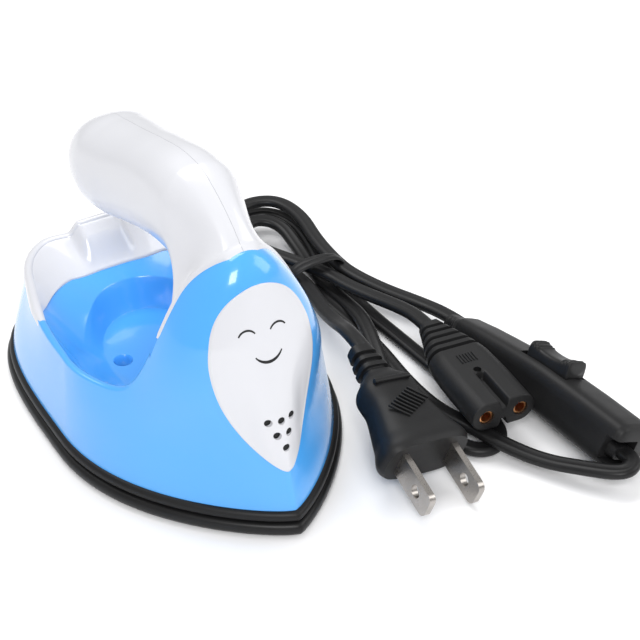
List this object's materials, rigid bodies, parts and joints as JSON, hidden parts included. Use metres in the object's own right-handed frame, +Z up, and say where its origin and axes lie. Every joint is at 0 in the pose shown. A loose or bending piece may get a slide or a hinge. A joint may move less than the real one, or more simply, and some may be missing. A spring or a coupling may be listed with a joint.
{
  "type": "mini iron",
  "caption": "Small hand iron with a black sole, blue shell, white open-ended handle and a smiling front panel, with its detachable lead, in-line rocker switch and two-pin plug.",
  "frame": {"origin": "centre of the iron's sole outline, on the surface that the sole stands on; the lead is left out of that centre", "axes": "+Z up, -Y towards the nose, +X to the right of someone holding the handle from behind"},
  "size_m": [0.1115, 0.1445, 0.0714],
  "materials": {
    "sole_coating": "satin",
    "skirt_black": "satin",
    "zinc_screws": "satin",
    "heater_ceramic": "matte",
    "spring_steel": "satin",
    "mica_sheet": "matte",
    "thermostat_case": "satin",
    "fuse_sleeve": "matte",
    "wire_sleeve": "matte",
    "body_blue": "gloss",
    "panel_white": "gloss",
    "cover_white": "gloss",
    "inlet_black": "satin",
    "pin_nickel": "polished",
    "handle_white": "gloss",
    "connector_black": "satin",
    "contact_brass": "satin",
    "switch_black": "satin",
    "rocker_black": "satin",
    "relief_black": "matte",
    "plug_black": "satin",
    "blade_nickel": "polished",
    "cord_black": "satin",
    "tie_black": "satin"
  },
  "bodies": {
    "iron": {"base_skirt": "skirt_black", "body_shell": "body_blue", "clamp_screws": "zinc_screws", "dish_screws": "zinc_screws", "face_panel": "panel_white", "handle_left": "handle_white", "handle_right": "handle_white", "handle_screws": "zinc_screws", "heater_clamp": "spring_steel", "heating_element": "heater_ceramic", "inlet_pins": "pin_nickel", "inlet_socket": "inlet_black", "insulation_sheet": "mica_sheet", "internal_wires": "wire_sleeve", "rear_cover": "cover_white", "skirt_screws": "zinc_screws", "sole_plate": "sole_coating", "thermal_fuse": "fuse_sleeve", "thermostat": "thermostat_case", "thermostat_bracket": "spring_steel"},
    "lead": {"connector_body": "connector_black", "connector_contacts": "contact_brass", "connector_relief": "connector_black", "switch_lower": "switch_black", "switch_upper": "switch_black", "rocker_pin": "pin_nickel", "switch_screws": "zinc_screws", "switch_reliefs": "relief_black", "plug_body": "plug_black", "plug_blades": "blade_nickel", "plug_relief": "plug_black", "lead_hank": "cord_black", "hank_tie": "tie_black", "cord_connector": "cord_black", "cord_switch_in": "cord_black", "cord_switch_out": "cord_black", "cord_bight": "cord_black", "cord_plug": "cord_black"},
    "rocker": {"switch_rocker": "rocker_black"}
  },
  "joints": [
    {"name": "lead_away", "type": "slide", "parent": "iron", "child": "lead", "axis": [1, 0, 0], "range_m": [0, 0.06]},
    {"name": "rocker_tilt", "type": "hinge", "parent": "lead", "child": "rocker", "pos_m": [0.07186, -0.04637, 0.01022], "axis": [0.913, 0.0319, -0.4067], "range_deg": [0, 12]}
  ]
}
